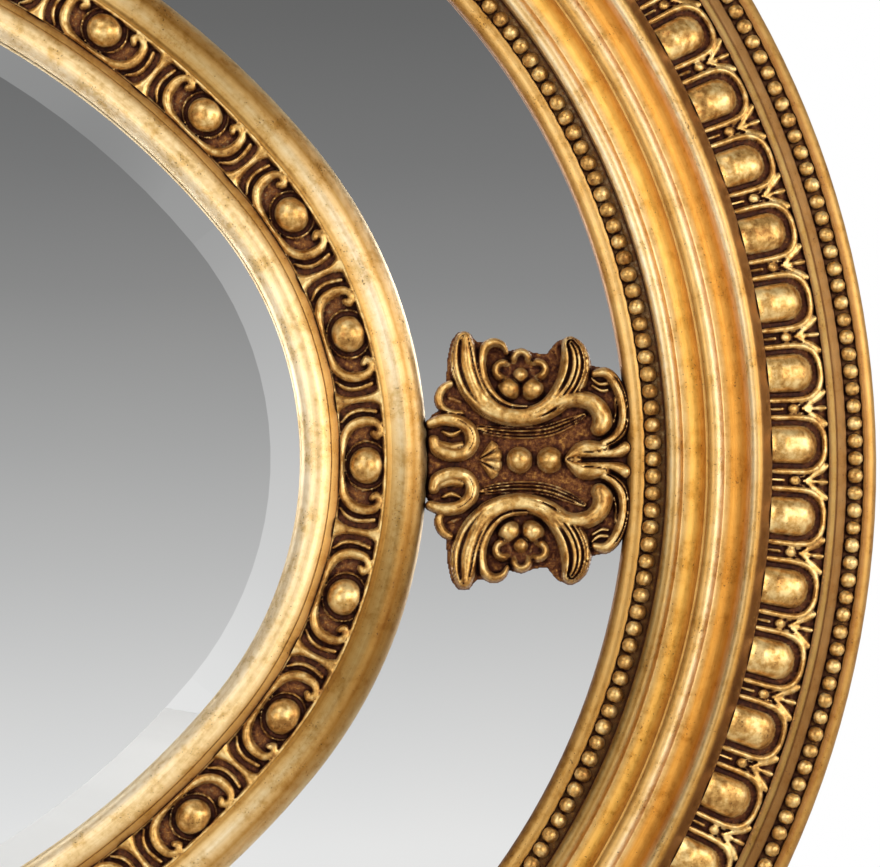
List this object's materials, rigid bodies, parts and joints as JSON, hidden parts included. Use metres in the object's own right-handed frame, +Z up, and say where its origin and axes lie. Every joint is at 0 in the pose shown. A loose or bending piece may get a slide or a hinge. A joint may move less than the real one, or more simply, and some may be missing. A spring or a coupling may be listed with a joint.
{
  "type": "oval margin mirror",
  "caption": "Large oval gilt wall mirror with moulded and carved double frame, margin glass, bevelled centre glass, cartouches and D-ring hangers.",
  "frame": {"origin": "middle of the bounding box: middle of the oval, half way between the highest ridge and the wall", "axes": "+X along the long axis, +Z up, -Y towards the room, +Y towards the wall"},
  "size_m": [1.2606, 0.066, 0.9304],
  "materials": {
    "gilt_wood": "burnished gold leaf over gesso on pine, rubbed and antiqued",
    "gilt_ornament": "gold leaf over composition ornament, dark wax in the recesses",
    "silvered_glass": "silvered flat glass",
    "backing_card": "plain grey card",
    "pine_board": "sawn pine, aged",
    "pine_block": "sawn pine",
    "beech_dowel": "turned beech",
    "steel_screw": "plain steel, dulled",
    "plated_steel": "nickel plated",
    "rubber_bumper": "moulded rubber"
  },
  "bodies": {
    "mirror": {"back_board_left": "pine_board", "back_board_middle": "pine_board", "back_board_right": "pine_board", "back_board_screws": "steel_screw", "ball_course": "gilt_ornament", "bumper_lower_left": "rubber_bumper", "bumper_lower_right": "rubber_bumper", "bumper_screws": "steel_screw", "bumper_upper_left": "rubber_bumper", "bumper_upper_right": "rubber_bumper", "cartouche_bottom": "gilt_ornament", "cartouche_left": "gilt_ornament", "cartouche_right": "gilt_ornament", "cartouche_top": "gilt_ornament", "centre_backing": "backing_card", "centre_glass": "silvered_glass", "centre_glass_blocks": "pine_block", "edge_bead_string": "gilt_ornament", "egg_course": "gilt_ornament", "hanger_screws": "steel_screw", "hanger_strap_left": "plated_steel", "hanger_strap_right": "plated_steel", "inner_frame_bottom": "gilt_wood", "inner_frame_dowels": "beech_dowel", "inner_frame_left": "gilt_wood", "inner_frame_lower_left": "gilt_wood", "inner_frame_lower_right": "gilt_wood", "inner_frame_right": "gilt_wood", "inner_frame_screws": "steel_screw", "inner_frame_top": "gilt_wood", "inner_frame_upper_left": "gilt_wood", "inner_frame_upper_right": "gilt_wood", "margin_glass_blocks": "pine_block", "margin_glass_lower_left": "silvered_glass", "margin_glass_lower_right": "silvered_glass", "margin_glass_upper_left": "silvered_glass", "margin_glass_upper_right": "silvered_glass", "outer_frame_bottom": "gilt_wood", "outer_frame_dowels": "beech_dowel", "outer_frame_left": "gilt_wood", "outer_frame_lower_left": "gilt_wood", "outer_frame_lower_right": "gilt_wood", "outer_frame_right": "gilt_wood", "outer_frame_top": "gilt_wood", "outer_frame_upper_left": "gilt_wood", "outer_frame_upper_right": "gilt_wood", "sight_bead_string": "gilt_ornament"},
    "right_ring": {"hanger_ring_right": "plated_steel"},
    "left_ring": {"hanger_ring_left": "plated_steel"}
  },
  "joints": [
    {"name": "right_ring_swing", "type": "hinge", "parent": "mirror", "child": "right_ring", "pos_m": [0.37232, 0.0282, 0.34373], "axis": [1, 0, 0], "range_deg": [0, 180]},
    {"name": "left_ring_swing", "type": "hinge", "parent": "mirror", "child": "left_ring", "pos_m": [-0.37232, 0.0282, 0.34373], "axis": [1, 0, 0], "range_deg": [0, 180]}
  ]
}
